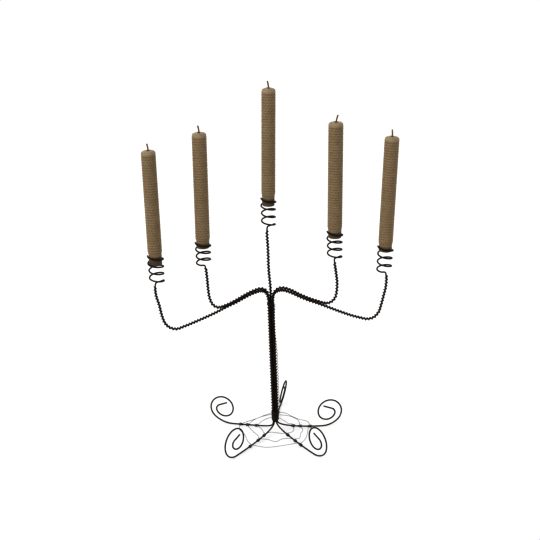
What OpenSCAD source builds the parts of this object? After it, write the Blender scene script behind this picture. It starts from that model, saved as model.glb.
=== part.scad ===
// Tabletop candelabra twisted from five lengths of wire, for five rolled wax candles.
// Each wire runs from a foot scroll, along the table, up the stem, out along an arm
// and round a candle in an open coil. The stem stands on the z axis, on the table at z = 0.

/* [Wire] */
// Diameter of the five core wires
core_d = 2.6; // [2.3:0.1:2.8]
// Diameter of the dark wire wound round each core
wrap_d = 1.8; // [1.5:0.1:1.9]
// Diameter of the wire wound round the whole bundle, in the two collars
collar_d = 1.3; // [1:0.1:1.5]
// Diameter of the silver binding wire
silver_d = 0.8; // [0.6:0.1:0.9]

/* [Stem and arms] */
// Height of the lower end of the stem above the table
stem_foot = 20; // [18:1:22]
// Height at which the arms part from the stem
stem_top = 254; // [230:2:290]
// Distance from the stem to the outer candles
span = 200; // [185:5:215]
// How far the top of the stem leans to the left
stem_lean = 5; // [3:0.5:6]

/* [Foot] */
// Distance from the stem to the start of a foot scroll
leg_reach = 90; // [84:1:100]
// Size of the foot scrolls, as a factor
scroll_size = 1; // [0.9:0.01:1.1]

/* [Candles] */
// Length of a candle
candle_l = 203; // [120:1:260]
// Diameter of a candle
candle_d = 24; // [22:0.5:25]
// Height of one turn of a candle coil
coil_pitch = 13.4; // [12.5:0.1:14]
// Length of wick above a candle
wick_l = 14; // [6:1:20]

/* [Hidden] */

// The five wires, in the order in which every list below names them
OUTER_LEFT = 0;
INNER_LEFT = 1;
CENTRE = 2;
INNER_RIGHT = 3;
OUTER_RIGHT = 4;

core_r = core_d / 2;
silver_r = silver_d / 2;
sides = 8;
gap = 0.3;

// The stem: five wires at the corners of a pentagon, close enough for their windings to mesh
bundle_angle = [162, 234, 90, 306, 18];
bundle_r = (core_d + wrap_d + gap / 2) / (2 * sin(36));
winding_r = (core_d + wrap_d) / 2;
lower_collar_z = 24;
lower_collar_turns = 14;
upper_collar_turns = 4;
collar_r = bundle_r + core_r + 0.05;

// The legs: heading, reach as a factor of leg_reach, and how long each one goes on straight down
// from the stem and straight in to its scroll before it bends
leg_heading = [158.8, 233, 84.8, 306.5, 10.5];
leg_factor = [0.92, 1.28, 1.06, 1.23, 0.965];
leg_drop = [13, 16, 12, 12, 10];
leg_run_in = [72, 36, 8, 36, 35];
leg_slope = 3;
leg_steps = 12;

// A foot scroll: radius and sweep of each arc from the table inwards, then its straight end
scroll_arcs = [[41, 44], [23.5, 114], [21, 131], [16, 136], [9, 96]];
scroll_tail = [16, 14, 21, 15, 17];
arc_step = 13;

// How the scrolls differ: angle turned aside from the leg, lean to the right of that heading,
// size, and the first and the last two arcs
scroll_aside = [4.4, -2.5, -8.6, 1, 1];
scroll_lean = [0, 0, 10.5, 0, 0];
scroll_factor = [0.98, 1.13, 1.01, 1.09, 1];
scroll_first = [1.2, 0.6, 0.78, 0.85, 0.96];
scroll_inner = [1.04, 0.82, 1.18, 0.98, 1];

// The arms: points on each wire's route, as [x per 200 mm of span, y, height above stem_top]
arm_route = [
    [
        [-9.6, 1.2, 8], [-11.3, 1.1, 14], [-14.5, 0.9, 18], [-21.5, 0.7, 20], [-34, 0.7, 16.6],
        [-49, 1, 9.2], [-65, 1.2, -0.2], [-81, 1.2, -8], [-105.5, 2, -21.4], [-129.5, 2, -32.6],
        [-159.5, 3, -45.8], [-171, 3, -50], [-184, 4, -47.4], [-191.3, 4, -40],
        [-195.6, 4, -28.6], [-200.6, 4, -4.2], [-205.5, 4, 15.7]
    ],
    [
        [-8.5, -3.3, 8], [-9.8, -3.2, 15.5], [-12.3, -2.4, 21.5], [-16.5, -1.4, 24.6],
        [-22, -0.7, 25.3], [-35, -0.7, 21.4], [-51, -1, 13.3], [-65, -1.2, 4.8],
        [-83, -1.2, -4.4], [-92, 0, -8], [-99.2, 2, -9.3], [-106.6, 4, -5], [-111.4, 6, 4.9],
        [-114, 8, 22], [-115.4, 8, 45]
    ],
    [[-5.2, 4, 8], [-5.1, 4.3, 20], [-7.6, 7, 56], [-8.4, 11, 96], [-9.4, 14, 120]],
    [
        [-2, -3.4, 8], [-0.9, -3.3, 14], [1.6, -2.9, 19.3], [4.8, -2.2, 22.9], [9.8, -1.4, 25.7],
        [16.5, -0.8, 26.1], [29, -0.8, 22.4], [44, -1, 14.2], [63, -1.2, 5.3], [75, -1.2, 0.9],
        [86, 0, -3.4], [93.2, 2, -5.6], [101.3, 4, -3.4], [108, 6, 3.8], [110.5, 8, 14],
        [111.4, 10, 28], [109.6, 10, 47]
    ],
    [
        [-0.9, 1.3, 8], [0.2, 1.2, 13.5], [3.5, 1, 17.6], [8, 0.8, 19.9], [16, 0.7, 20.8],
        [28, 0.7, 17.2], [43, 1, 9.5], [63, 1.2, 0.4], [74, 1.2, -3.7], [98, 2, -13.9],
        [117, 4, -22.8], [151.5, 8, -36.2], [166, 9, -39.5], [176.7, 10, -36.4],
        [184.3, 11, -27.8], [188.6, 11, -14.5], [193, 12, 3.4], [196.8, 12, 21.5]
    ]
];
arm_step = 6.5;

// The candles: foot of each candle as [x per 200 mm of span, y, height above stem_top], its
// outward lean, how much thicker than candle_d it is, and its depth in the coil
candle_foot = [[-202.5, 4, 71.5], [-120, 8, 100], [-6, 16, 172], [107.5, 10, 114], [195, 12, 87]];
candle_lean = [-1, 0, 1, 0.5, 2.5];
candle_more = [0.6, 0, -1, 0.4, 0.4];
candle_depth = [16.5, 9.5, 13, 11, 8.5];
squeeze = 0.5;
rim_r = 2.5;
wick_r = 1.1;
wick_bend = [-2, -2, -2.5, 3.5, -1];

// The coils: turns, tightness of the turns as a factor, and how far the turns below the candle close in
coil_turns = [3.5, 3, 3.5, 3.5, 3];
coil_factor = [1, 0.93, 1.01, 0.99, 1.07];
coil_shelf = 0.9;
coil_steps = 18;
coil_exit = 11;
exit_shift = [-4, 3, -2.5, 0, 4];

// The silver web: distance of each ring from the stem along each leg, and the points that its
// strands pass on the way to the next leg in web_order, as [distance from the z axis, angle, height]
web_order = [OUTER_RIGHT, CENTRE, OUTER_LEFT, INNER_LEFT, INNER_RIGHT];
web_reach = [[37, 33, 35, 35, 31.5], [53.5, 51, 50, 57, 44], [67.5, 75, 66, 72, 62]];
web_strands = [
    [
        [[27, 30, 8], [30, 57, 8]], [[36, 124, 8]], [[26, 193, 8]],
        [[25, 246, 10], [25, 278, 9.5], [30, 299, 9]], [[35, 325, 8], [34.5, 345, 7]]
    ],
    [
        [[51, 38, 7], [52, 64, 7]], [[52, 108, 7], [52, 138, 6]], [[42, 195, 6], [43, 222, 7]],
        [[45, 253, 6], [49, 270, 5], [43, 285, 6], [46, 298, 6.5]],
        [[57, 318, 5], [50, 334, 6], [50, 352, 6]]
    ],
    [
        [[64, 25, 5], [55, 40, 6], [55, 60, 7], [62, 71, 6]],
        [[58, 103, 6], [54, 137, 5.5], [60, 151, 5]], [[65, 178, 3], [59, 195, 4]],
        [[68, 255, 3], [62, 278, 3]], [[67, 320, 4], [59, 350, 4]]
    ]
];

// The silver curl: radius, distance from the middle of the stem, and its route as [height, angle]
curl_r = 1.5;
curl_offset = 8.2;
curl_route = [[47, 25], [110, 22], [165, 28], [190, 50], [225, 50], [250, 30]];

function unit(v) = v / norm(v);
function level(angle) = [cos(angle), sin(angle), 0];
function reversed(list) = [for (i = [len(list) - 1:-1:0]) list[i]];

// A point at u, from 0 to 1, on the smooth curve between b and c that comes from a and goes to d
function between(a, b, c, d, u) =
    let (
        ab = norm(b - a),
        bc = norm(c - b),
        cd = norm(d - c),
        at_b = ((c - b) / bc * ab + (b - a) / ab * bc) * bc / (ab + bc),
        at_c = ((d - c) / cd * bc + (c - b) / bc * cd) * bc / (bc + cd)
    )
    (2 * u^3 - 3 * u^2 + 1) * b + (u^3 - 2 * u^2 + u) * at_b + (3 * u^2 - 2 * u^3) * c + (u^3 - u^2) * at_c;

// The smooth curve through a list's points, less its first and last, which only steer the ends
function smooth(list, step) = [
    for (i = [1:len(list) - 3])
        let (count = max(1, ceil(norm(list[i + 1] - list[i]) / step)))
            for (k = [0:count - 1]) between(list[i - 1], list[i], list[i + 1], list[i + 2], k / count)
];

// The middle of the stem at height z, and the centre of a wire there
function stem_middle(z) = [-stem_lean * (z - stem_foot) / (stem_top - stem_foot), 0, z];
function in_stem(w, z) = stem_middle(z) + bundle_r * level(bundle_angle[w]);

// The run of a leg from the stem down to the start of its scroll
function scroll_heading(w) = leg_heading[w] + scroll_aside[w];
function side_of_scroll(w) = level(scroll_heading(w) + 90);
function scroll_start(w) = leg_reach * leg_factor[w] * level(leg_heading[w]) + [0, 0, core_r + 0.08];
function leg_run(w) =
    let (
        a = in_stem(w, stem_foot),
        b = a - [0, 0, leg_drop[w]],
        d = scroll_start(w),
        c = d - leg_run_in[w] * (level(scroll_heading(w)) - [0, 0, tan(leg_slope)])
    )
    [for (k = [0:leg_steps]) let (u = k / leg_steps)
        (1 - u)^3 * a + 3 * u * (1 - u)^2 * b + 3 * u^2 * (1 - u) * c + u^3 * d];

// The scroll as [distance along its heading, height], from its arcs laid end to end
function scroll_scale(w) = scroll_size * scroll_factor[w];
function arc_r(w, i) =
    scroll_arcs[i][0] * scroll_scale(w) * (i == 0 ? scroll_first[w] : i > 2 ? scroll_inner[w] : 1);
function heading_after(i) = i < 0 ? -leg_slope : scroll_arcs[i][1] + heading_after(i - 1);
function arc_end(w, i) = i < 0 ? [0, 0] : arc_point(w, i, scroll_arcs[i][1]);
function arc_point(w, i, turn) =
    let (start = heading_after(i - 1))
    arc_end(w, i - 1) + arc_r(w, i) * [sin(start + turn) - sin(start), cos(start) - cos(start + turn)];
function scroll_outline(w) =
    let (last = len(scroll_arcs) - 1, heading = heading_after(last), tip = arc_end(w, last))
    concat(
        [for (i = [0:last])
            let (sweep = scroll_arcs[i][1], count = ceil(sweep / arc_step))
                for (k = [1:count]) arc_point(w, i, sweep * k / count)],
        [for (k = [1:3]) tip + scroll_tail[w] * scroll_scale(w) * k / 3 * [cos(heading), sin(heading)]]
    );
function scroll(w) =
    let (
        along = level(scroll_heading(w)),
        up = cos(scroll_lean[w]) * [0, 0, 1] - sin(scroll_lean[w]) * side_of_scroll(w)
    )
    [for (p = scroll_outline(w)) scroll_start(w) + p[0] * along + p[1] * up];
function leg(w) = concat(leg_run(w), scroll(w));

// Where a leg is when it has come a distance out from the stem
function out(p) = norm([p[0], p[1]]);
function leg_place(w, distance) =
    let (
        run = leg_run(w),
        i = [for (k = [1:leg_steps]) if (out(run[k]) >= distance) k][0],
        u = (distance - out(run[i - 1])) / (out(run[i]) - out(run[i - 1]))
    )
    [run[i - 1] + u * (run[i] - run[i - 1]), unit(run[i] - run[i - 1])];

// A candle's own frame: its foot is the origin and its axis is z, before it leans
function candle_r(w) = (candle_d + candle_more[w]) / 2;
function seat_r(w) = candle_r(w) - squeeze;
function candle_at(w) =
    [candle_foot[w][0] * span / 200, candle_foot[w][1], stem_top + candle_foot[w][2]];
function leaned(w, p) =
    let (a = candle_lean[w])
    candle_at(w) + [p[0] * cos(a) + p[2] * sin(a), p[1], p[2] * cos(a) - p[0] * sin(a)];

// The coil, from its free end at the top left down to the end of its last turn
function pitch(w) = coil_pitch * coil_factor[w];
function coil_r(w, turn) =
    let (
        below = (candle_depth[w] + core_r + gap) / pitch(w),
        closing = min(1, max(0, (turn - below) / 0.3))
    )
    seat_r(w) + core_r + gap - coil_shelf * closing;
function coil_point(w, turn) =
    leaned(w, coil_r(w, turn) * level(180 + 360 * turn) + [0, 0, candle_depth[w] - pitch(w) * turn]);
function coil(w) =
    [for (k = [0:coil_turns[w] * coil_steps]) coil_point(w, k / coil_steps)];

// The last stretch of an arm: up the coil's axis, then round and out to the end of its last turn
function coil_entry(w) =
    let (
        turns = coil_turns[w],
        r = coil_r(w, turns),
        end = candle_depth[w] - pitch(w) * turns,
        a = 180 + 360 * turns
    )
    [
        leaned(w, [exit_shift[w], 0, end - coil_exit]),
        leaned(w, r * 0.16 * level(a + 90) + [exit_shift[w] * 0.6, 0, end - 5]),
        leaned(w, r * (0.5 * level(a) + 0.42 * level(a + 90)) + [0, 0, end - 3]),
        leaned(w, r * 0.96 * level(a + 26) + [0, 0, end - 1])
    ];
function arm_points(w) =
    concat(
        [in_stem(w, stem_top - 8), in_stem(w, stem_top)],
        [for (p = arm_route[w]) [p[0] * span / 200, p[1], stem_top + p[2]]],
        coil_entry(w),
        [coil_point(w, coil_turns[w]), coil_point(w, coil_turns[w] - 1 / coil_steps)]
    );
function arm(w) = smooth(arm_points(w), arm_step);

// The whole wire, from the tip of its scroll to the free end of its coil
collar_z = lower_collar_z + lower_collar_turns * collar_d + 1;
upper_collar_z = stem_top - upper_collar_turns * collar_d - 1;
function leg_part(w) = reversed(leg(w));
function stem_part(w) = [for (z = [collar_z, upper_collar_z - 1]) in_stem(w, z)];
function wire(w) = concat(leg_part(w), stem_part(w), arm(w), reversed(coil(w)));
function stem_start(w) = len(leg_part(w)) - 1;
function winding_start(w) = stem_start(w) + 1;
function winding_end(w) = stem_start(w) + 2;
function arm_start(w) = stem_start(w) + 3;
function coil_start(w) = arm_start(w) + len(arm(w));

// Directions along a route, and a direction across it that never twists
function alongs(path) = [
    for (i = [0:len(path) - 1]) unit(path[min(i + 1, len(path) - 1)] - path[max(i - 1, 0)])
];
function across(v, along) = unit(v - (v * along) * along);
function acrosses(along, first) = [
    for (i = 0, v = across(first, along[0]); i < len(along); i = i + 1, v = across(v, along[min(i, len(along) - 1)])) v
];

function ring(centre, along, v, r) =
    let (w = cross(along, v))
    [for (j = [0:sides - 1]) let (a = 360 * j / sides) centre + r * (cos(a) * v + sin(a) * w)];
function wall(first, count, inward) = [
    for (k = [0:count - 2], j = [0:sides - 1])
        let (
            a = first + k * sides + j,
            b = first + k * sides + (j + 1) % sides,
            c = b + sides,
            d = a + sides
        )
            each inward ? [[a, b, c], [a, c, d]] : [[a, c, b], [a, d, c]]
];

// A round wire along part of a route
module wire_piece(path, first_across, from, to, r) {
    along = alongs(path);
    v = acrosses(along, first_across);
    count = to - from + 1;
    points = [for (i = [from:to]) each ring(path[i], along[i], v[i], r)];
    ends = [[for (j = [0:sides - 1]) j], [for (j = [sides - 1:-1:0]) (count - 1) * sides + j]];
    polyhedron(points, concat(wall(0, count, false), ends), convexity = 10);
}

// A sleeve round part of a route
module sleeve_piece(path, first_across, from, to, inner_r, outer_r) {
    along = alongs(path);
    v = acrosses(along, first_across);
    count = to - from + 1;
    outer = [for (i = [from:to]) each ring(path[i], along[i], v[i], outer_r)];
    inner = [for (i = [from:to]) each ring(path[i], along[i], v[i], inner_r)];
    n = count * sides;
    last = (count - 1) * sides;
    ends = [for (j = [0:sides - 1]) let (k = (j + 1) % sides) each [
        [j, k, n + k], [j, n + k, n + j],
        [last + j, n + last + k, last + k], [last + j, n + last + j, n + last + k]
    ]];
    polyhedron(
        concat(outer, inner),
        concat(wall(0, count, false), wall(n, count, true), ends),
        convexity = 10
    );
}

// A closed loop of fine wire
module loop_piece(path, r) {
    n = len(path);
    points = [for (i = [0:n - 1])
        let (along = unit(path[(i + 1) % n] - path[(i + n - 1) % n]))
            each ring(path[i], along, across([0, 0, 1], along), r)];
    faces = [
        for (i = [0:n - 1], j = [0:sides - 1])
            let (
                a = i * sides + j,
                b = i * sides + (j + 1) % sides,
                c = ((i + 1) % n) * sides + (j + 1) % sides,
                d = ((i + 1) % n) * sides + j
            )
                each [[a, c, b], [a, d, c]]
    ];
    polyhedron(points, faces, convexity = 10);
}

module leg_wire(w) {
    color("#17120e")
        wire_piece(wire(w), side_of_scroll(w), 0, stem_start(w), core_r);
}

module stem_wire(w) {
    color("#17120e")
        wire_piece(wire(w), side_of_scroll(w), stem_start(w), arm_start(w), core_r);
}

module arm_wire(w) {
    color("#17120e")
        wire_piece(wire(w), side_of_scroll(w), arm_start(w), coil_start(w), core_r);
}

module coil_wire(w) {
    color("#17120e")
        wire_piece(wire(w), side_of_scroll(w), coil_start(w), len(wire(w)) - 1, core_r);
}

// The dark wire wound round each core, as a sleeve of the winding's mean thickness
module stem_winding(w) {
    color("#0e0b08")
        sleeve_piece(wire(w), side_of_scroll(w), winding_start(w), winding_end(w), core_r, winding_r);
}

module arm_winding(w) {
    color("#0e0b08")
        sleeve_piece(
            wire(w), side_of_scroll(w), arm_start(w) + 1, coil_start(w) - 7, core_r, winding_r
        );
}

// A close winding round the whole bundle, its turns half sunk in one another
module collar(z, turns) {
    translate(stem_middle(z))
        rotate([0, -atan(stem_lean / (stem_top - stem_foot)), 0])
            rotate_extrude($fn = 64) {
                translate([collar_r, 0])
                    square([collar_d / 2, turns * collar_d]);
                for (k = [0:turns - 1])
                    translate([collar_r + collar_d / 2, (k + 0.5) * collar_d])
                        circle(collar_d / 2, $fn = 24);
            }
}

module lower_collar() {
    color("#1a140f")
        collar(lower_collar_z, lower_collar_turns);
}

module upper_collar() {
    color("#1a140f")
        collar(upper_collar_z, upper_collar_turns);
}

// The silver thread curled up the side of the stem, as a tube of the curl's outer size
module silver_curl() {
    path = [for (p = curl_route) stem_middle(p[0]) + curl_offset * level(p[1])];
    color("silver")
        wire_piece(path, [1, 0, 0], 0, len(path) - 1, curl_r);
}

// One ring of the silver web: two turns round each leg and a strand from leg to leg
module web(ring_index) {
    places = [for (w = web_order) leg_place(w, web_reach[ring_index][w])];
    lift = core_r + silver_r + 0.05;
    strand = [
        for (i = [0:len(places) - 1])
            let (place = places[i][0], slope = places[i][1][2])
                each concat(
                    [place + [0, 0, lift / sqrt(1 - slope^2)]],
                    [for (p = web_strands[ring_index][i]) p[0] * level(p[1]) + [0, 0, p[2]]]
                )
    ];
    around = concat([strand[len(strand) - 1]], strand, [strand[0], strand[1]]);
    color("silver") {
        loop_piece(smooth(around, 9), silver_r);
        for (p = places, side = [-1, 1])
            translate(p[0] + side * (silver_d + 0.1) * p[1])
                rotate([0, acos(p[1][2]), atan2(p[1][1], p[1][0])])
                    rotate_extrude($fn = 32)
                        translate([core_r + silver_r + 0.03, 0])
                            circle(silver_r, $fn = 16);
    }
}

// A rolled wax candle: a soft rim, a foot squeezed by the coil, and a bore for the wick
module candle(w) {
    r = candle_r(w);
    seat = seat_r(w);
    top = candle_l;
    grip = candle_depth[w] + 2;
    color("#7d6546")
        translate(candle_at(w))
            rotate([0, candle_lean[w], 0])
                difference() {
                    union() {
                        cylinder(h = grip, r = seat, $fn = 96);
                        translate([0, 0, grip])
                            cylinder(h = 8, r1 = seat, r2 = r, $fn = 96);
                        translate([0, 0, grip + 8])
                            cylinder(h = top - rim_r - grip - 8, r = r, $fn = 96);
                        translate([0, 0, top - rim_r])
                            cylinder(h = rim_r, r1 = r, r2 = r - rim_r * 0.7, $fn = 96);
                    }
                    translate([0, 0, -1])
                        cylinder(h = top + 2, r = wick_r + 0.08, $fn = 24);
                }
}

module wick(w) {
    path = [
        for (p = [
            [0, 0], [0, candle_l * 0.5], [0, candle_l], [wick_bend[w] * 0.2, candle_l + wick_l * 0.35],
            [wick_bend[w] * 0.55, candle_l + wick_l * 0.7], [wick_bend[w], candle_l + wick_l]
        ])
            leaned(w, [p[0], 0, p[1]])
    ];
    color("#8a7250")
        wire_piece(path, [0, 1, 0], 0, len(path) - 1, wick_r);
}

leg_wire(OUTER_LEFT);  // leg_outer_left
leg_wire(INNER_LEFT);  // leg_inner_left
leg_wire(CENTRE);  // leg_centre
leg_wire(INNER_RIGHT);  // leg_inner_right
leg_wire(OUTER_RIGHT);  // leg_outer_right
stem_wire(OUTER_LEFT);  // stem_outer_left
stem_wire(INNER_LEFT);  // stem_inner_left
stem_wire(CENTRE);  // stem_centre
stem_wire(INNER_RIGHT);  // stem_inner_right
stem_wire(OUTER_RIGHT);  // stem_outer_right
arm_wire(OUTER_LEFT);  // arm_outer_left
arm_wire(INNER_LEFT);  // arm_inner_left
arm_wire(CENTRE);  // arm_centre
arm_wire(INNER_RIGHT);  // arm_inner_right
arm_wire(OUTER_RIGHT);  // arm_outer_right
coil_wire(OUTER_LEFT);  // coil_outer_left
coil_wire(INNER_LEFT);  // coil_inner_left
coil_wire(CENTRE);  // coil_centre
coil_wire(INNER_RIGHT);  // coil_inner_right
coil_wire(OUTER_RIGHT);  // coil_outer_right
stem_winding(OUTER_LEFT);  // stem_winding_outer_left
stem_winding(INNER_LEFT);  // stem_winding_inner_left
stem_winding(CENTRE);  // stem_winding_centre
stem_winding(INNER_RIGHT);  // stem_winding_inner_right
stem_winding(OUTER_RIGHT);  // stem_winding_outer_right
arm_winding(OUTER_LEFT);  // arm_winding_outer_left
arm_winding(INNER_LEFT);  // arm_winding_inner_left
arm_winding(CENTRE);  // arm_winding_centre
arm_winding(INNER_RIGHT);  // arm_winding_inner_right
arm_winding(OUTER_RIGHT);  // arm_winding_outer_right
lower_collar();
upper_collar();
silver_curl();
web(0);  // web_inner
web(1);  // web_middle
web(2);  // web_outer
candle(OUTER_LEFT);  // candle_outer_left
candle(INNER_LEFT);  // candle_inner_left
candle(CENTRE);  // candle_centre
candle(INNER_RIGHT);  // candle_inner_right
candle(OUTER_RIGHT);  // candle_outer_right
wick(OUTER_LEFT);  // wick_outer_left
wick(INNER_LEFT);  // wick_inner_left
wick(CENTRE);  // wick_centre
wick(INNER_RIGHT);  // wick_inner_right
wick(OUTER_RIGHT);  // wick_outer_right
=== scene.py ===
import math

import bpy
import numpy as np
from mathutils import Matrix, Vector


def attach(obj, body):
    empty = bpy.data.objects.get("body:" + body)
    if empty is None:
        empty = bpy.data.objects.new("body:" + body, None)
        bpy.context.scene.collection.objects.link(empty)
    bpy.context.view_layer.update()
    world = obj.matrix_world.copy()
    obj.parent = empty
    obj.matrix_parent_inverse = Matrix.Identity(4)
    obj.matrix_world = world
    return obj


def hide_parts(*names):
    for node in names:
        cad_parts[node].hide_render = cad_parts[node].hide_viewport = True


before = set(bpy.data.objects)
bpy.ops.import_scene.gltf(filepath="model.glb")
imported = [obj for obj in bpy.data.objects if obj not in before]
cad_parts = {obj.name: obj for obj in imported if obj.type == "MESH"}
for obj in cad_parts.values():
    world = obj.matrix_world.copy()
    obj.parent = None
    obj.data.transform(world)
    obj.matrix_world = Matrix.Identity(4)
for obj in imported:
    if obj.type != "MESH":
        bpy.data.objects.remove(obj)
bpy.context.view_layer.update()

# ---- Sizes, in metres and degrees. Bare lists of points and arcs are in millimetres ----

MM = 0.001
UP = np.array([0.0, 0.0, 1.0])

# The five wires. A list with one value for each wire or candle below has them in this order
WIRES = ["outer_left", "inner_left", "centre", "inner_right", "outer_right"]
OUTER_LEFT, INNER_LEFT, CENTRE, INNER_RIGHT, OUTER_RIGHT = range(5)

# The inner wire that each outer one lies along until they part
PAIRS = {OUTER_LEFT: INNER_LEFT, OUTER_RIGHT: INNER_RIGHT}

# The radii of the four kinds of wire, and the gap between pieces that nearly touch
CORE_R = 1.3 * MM
WRAP_R = 0.9 * MM
COLLAR_WIRE_R = 0.65 * MM
SILVER_R = 0.4 * MM
GAP = 0.3 * MM

# The stem: five wires at the corners of a pentagon, which leans a little
STEM_FOOT = 20 * MM
STEM_TOP = 254 * MM
STEM_LEAN = 5 * MM
BUNDLE_ANGLE = [162, 234, 90, 306, 18]
BUNDLE_R = (2 * CORE_R + 2 * WRAP_R + GAP / 2) / (2 * math.sin(math.radians(36)))

# The collars: the radius inside their turns, each one's lowest turn and its number of turns, and how
# much of its room a turn fills
COLLAR_R = BUNDLE_R + CORE_R + 0.05 * MM
LOWER_COLLAR = (24 * MM, 14)
UPPER_COLLAR = (247.8 * MM, 4)
COLLAR_FILL = 0.99
COLLAR_STEPS = 28

# The legs: how far out they reach and each one's factor on that, their headings, the handles that
# steer them down out of the stem and level into their scrolls, and their slope and height there
LEG_REACH = 90 * MM
LEG_FACTOR = [0.92, 1.28, 1.06, 1.23, 0.965]
LEG_HEADING = [158.8, 233, 84.8, 306.5, 10.5]
LEG_DROP = [13 * MM, 16 * MM, 12 * MM, 12 * MM, 10 * MM]
LEG_RUN_IN = [72 * MM, 36 * MM, 8 * MM, 36 * MM, 35 * MM]
LEG_SLOPE = 3
LEG_START = CORE_R + 0.08 * MM
LEG_STEPS = 80

# The scrolls: arcs of [radius, sweep] from the table inwards and a straight tail, how far each scroll
# turns and leans aside, and the size of the whole scroll, of its first arc and of its last two
SCROLL_ARCS = [[41, 44], [23.5, 114], [21, 131], [16, 136], [9, 96]]
SCROLL_TAIL = [16, 14, 21, 15, 17]
SCROLL_ASIDE = [4.4, -2.5, -8.6, 1, 1]
SCROLL_LEAN = [0, 0, 10.5, 0, 0]
SCROLL_FACTOR = [0.98, 1.13, 1.01, 1.09, 1]
SCROLL_FIRST = [1.2, 0.6, 0.78, 0.85, 0.96]
SCROLL_INNER = [1.04, 0.82, 1.18, 0.98, 1]
ARC_STEPS = 40
TAIL_STEPS = 10

# The arms: the length of stem that steers their start, and points on each wire's route, as
# [x, y, height above the top of the stem]
ARM_STEER = 8 * MM
ARM_ROUTE = [
    [
        [-9.6, 1.2, 8], [-11.3, 1.1, 14], [-14.5, 0.9, 18], [-21.5, 0.7, 20], [-34, 0.7, 16.6],
        [-49, 1, 9.2], [-65, 1.2, -0.2], [-81, 1.2, -8], [-105.5, 2, -21.4], [-129.5, 2, -32.6],
        [-159.5, 3, -45.8], [-171, 3, -50], [-184, 4, -47.4], [-191.3, 4, -40],
        [-195.6, 4, -28.6], [-200.6, 4, -4.2], [-205.5, 4, 15.7],
    ],
    [
        [-8.5, -3.3, 8], [-9.8, -3.2, 15.5], [-12.3, -2.4, 21.5], [-16.5, -1.4, 24.6],
        [-22, -0.7, 25.3], [-35, -0.7, 21.4], [-51, -1, 13.3], [-65, -1.2, 4.8],
        [-83, -1.2, -4.4], [-92, 0, -8], [-99.2, 2, -9.3], [-106.6, 4, -5], [-111.4, 6, 4.9],
        [-114, 8, 22], [-115.4, 8, 45],
    ],
    [[-5.2, 4, 8], [-5.1, 4.3, 20], [-7.6, 7, 56], [-8.4, 11, 96], [-9.4, 14, 120]],
    [
        [-2, -3.4, 8], [-0.9, -3.3, 14], [1.6, -2.9, 19.3], [4.8, -2.2, 22.9], [9.8, -1.4, 25.7],
        [16.5, -0.8, 26.1], [29, -0.8, 22.4], [44, -1, 14.2], [63, -1.2, 5.3], [75, -1.2, 0.9],
        [86, 0, -3.4], [93.2, 2, -5.6], [101.3, 4, -3.4], [108, 6, 3.8], [110.5, 8, 14],
        [111.4, 10, 28], [109.6, 10, 47],
    ],
    [
        [-0.9, 1.3, 8], [0.2, 1.2, 13.5], [3.5, 1, 17.6], [8, 0.8, 19.9], [16, 0.7, 20.8],
        [28, 0.7, 17.2], [43, 1, 9.5], [63, 1.2, 0.4], [74, 1.2, -3.7], [98, 2, -13.9],
        [117, 4, -22.8], [151.5, 8, -36.2], [166, 9, -39.5], [176.7, 10, -36.4],
        [184.3, 11, -27.8], [188.6, 11, -14.5], [193, 12, 3.4], [196.8, 12, 21.5],
    ],
]

# The candles: their feet above the top of the stem, their lean and sizes, how deep they stand in
# their coils, and how much the coils squeeze them
CANDLE_FOOT = [[-202.5, 4, 71.5], [-120, 8, 100], [-6, 16, 172], [107.5, 10, 114], [195, 12, 87]]
CANDLE_LEAN = [-1, 0, 1, 0.5, 2.5]
CANDLE_L = 203 * MM
CANDLE_D = [24.6 * MM, 24 * MM, 23 * MM, 24.4 * MM, 24.4 * MM]
CANDLE_DEPTH = [16.5 * MM, 9.5 * MM, 13 * MM, 11 * MM, 8.5 * MM]
SQUEEZE = 0.5 * MM

# The wicks: their length above the candle, how far each one bends aside, the curve of the bend as
# [share of the length, share of the bend], and the length below it that holds it upright
WICK_R = 1.4 * MM
WICK_L = 14 * MM
WICK_BEND = [-2 * MM, -2 * MM, -2.5 * MM, 3.5 * MM, -1 * MM]
WICK_CURVE = [[0.35, 0.2], [0.7, 0.55], [1, 1]]
WICK_UPRIGHT = 4 * MM
WICK_STEP = 0.35 * MM

# A wick's strands, drawn down to a depth in the candle, and the plain wick below, which they overlap
STRANDS = 3
STRAND_R = 0.55 * WICK_R
STRAND_PITCH = 4.2 * MM
STRAND_DEPTH = 8 * MM
STRAND_LAP = 1 * MM
PLAIN_WICK_R = 0.9 * WICK_R
PLAIN_WICK_STEP = 10 * MM

# The coils under the candles: their pitch and each one's factor on it, their turns, how far and over
# what part of a turn they close in below the candle's foot, and the part of a turn that steers an
# arm into its coil
COIL_PITCH = 13.4 * MM
COIL_FACTOR = [1, 0.93, 1.01, 0.99, 1.07]
COIL_TURNS = [3.5, 3, 3.5, 3.5, 3]
COIL_SHELF = 0.9 * MM
COIL_CLOSING = 0.3
COIL_STEER = 1 / 18
COIL_STEPS = 72

# How an arm comes up into its coil: how far beside the coil's axis, and then points as [share of the
# coil's radius towards the end of the last turn, share of it onwards round the coil, share of the
# shift beside the axis, depth below that end]
EXIT_SHIFT = [-4 * MM, 3 * MM, -2.5 * MM, 0, 4 * MM]
ENTRY_AHEAD = math.radians(26)
ENTRY_POINTS = [
    [0, 0, 1, 11 * MM],
    [0, 0.16, 0.6, 5 * MM],
    [0.5, 0.42, 0, 3 * MM],
    [0.96 * math.cos(ENTRY_AHEAD), 0.96 * math.sin(ENTRY_AHEAD), 0, 1 * MM],
]

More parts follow.
